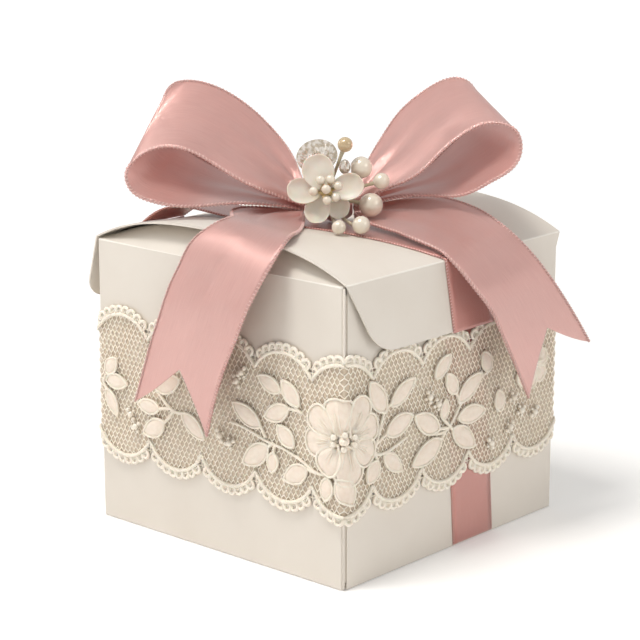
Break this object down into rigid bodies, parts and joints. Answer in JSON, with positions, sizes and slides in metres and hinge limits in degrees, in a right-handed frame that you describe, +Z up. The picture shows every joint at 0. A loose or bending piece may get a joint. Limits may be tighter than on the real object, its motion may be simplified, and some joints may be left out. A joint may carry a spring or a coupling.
{
  "type": "wedding card box",
  "caption": "Square folding card gift box with arched lid, lace band and satin ribbon tied in a bow under a flower and pearl spray.",
  "frame": {"origin": "centre of the footprint, on the surface that the box stands on", "axes": "+Z up, +X towards the wall with the ribbon and the long lid flap, +Y away from the corner seam's other wall"},
  "size_m": [0.1219, 0.1139, 0.1359],
  "materials": {
    "carton_card": "smooth pearlescent ivory card",
    "lid_card": "smooth pearlescent ivory card",
    "lace": "ivory tulle net with corded scalloped edges",
    "embroidery": "raised ivory satin stitch",
    "lace_pearl": "pearl lustre",
    "narrow_satin": "dusty rose satin",
    "wide_satin": "dusty rose satin with stitched edges",
    "petal": "matt cold porcelain",
    "pad": "wrapped ivory floral tape",
    "pearl": "pearl lustre",
    "gold_pearl": "champagne pearl lustre",
    "wire": "floral tape over wire",
    "crystal": "faceted clear crystal"
  },
  "bodies": {
    "carton": {"carton_walls": "carton_card", "glue_tab": "carton_card", "bottom_flap_south": "carton_card", "bottom_flap_north": "carton_card", "bottom_flap_east": "carton_card", "bottom_flap_west": "carton_card", "lace_band": "lace", "lace_flowers": "embroidery", "lace_leaves": "embroidery", "lace_beads": "lace_pearl", "ribbon_run_east": "narrow_satin", "ribbon_run_west": "narrow_satin", "ribbon_run_under": "narrow_satin"},
    "dust_south": {"dust_flap_south": "carton_card"},
    "dust_north": {"dust_flap_north": "carton_card"},
    "lid": {"lid_panel": "lid_card", "ribbon_run_top": "narrow_satin", "bow_loop_left": "wide_satin", "bow_loop_right": "wide_satin", "bow_tail_left": "wide_satin", "bow_tail_right": "wide_satin", "bow_knot": "wide_satin", "flower_base": "pad", "stamen_cone": "pad", "stamen_pearls": "pearl", "flower_petal_top": "petal", "flower_petal_left": "petal", "flower_petal_right": "petal", "flower_petal_lower_left": "petal", "flower_petal_lower_right": "petal", "spray_pearl_gold": "gold_pearl", "spray_pearls_large": "pearl", "spray_pearls_small": "pearl", "spray_stems": "wire", "crystal_leaf": "crystal", "crystal_bud": "crystal"},
    "flap_east": {"lid_flap_east": "lid_card", "ribbon_flap_east": "narrow_satin"},
    "flap_west": {"lid_flap_west": "lid_card", "ribbon_flap_west": "narrow_satin"}
  },
  "joints": [
    {"name": "lid_lift", "type": "slide", "parent": "carton", "child": "lid", "axis": [0, 0, 1], "range_m": [0, 0.12]},
    {"name": "flap_east_fold", "type": "hinge", "parent": "lid", "child": "flap_east", "pos_m": [0.05035, 0, 0.0891], "axis": [0, -1, 0], "range_deg": [0, 55], "deforming": ["bow_tail_right"]},
    {"name": "flap_west_fold", "type": "hinge", "parent": "lid", "child": "flap_west", "pos_m": [-0.05035, 0, 0.0891], "axis": [0, 1, 0], "range_deg": [0, 45]},
    {"name": "dust_south_fold", "type": "hinge", "parent": "carton", "child": "dust_south", "pos_m": [0, -0.0495, 0.0884], "axis": [1, 0, 0], "range_deg": [0, 90]},
    {"name": "dust_north_fold", "type": "hinge", "parent": "carton", "child": "dust_north", "pos_m": [0, 0.0495, 0.0884], "axis": [-1, 0, 0], "range_deg": [0, 90]}
  ],
  "couplings": [
    {"joint": "dust_south_fold", "follows": "lid_lift", "rad_per_m": 13},
    {"joint": "dust_north_fold", "follows": "lid_lift", "rad_per_m": 13}
  ]
}
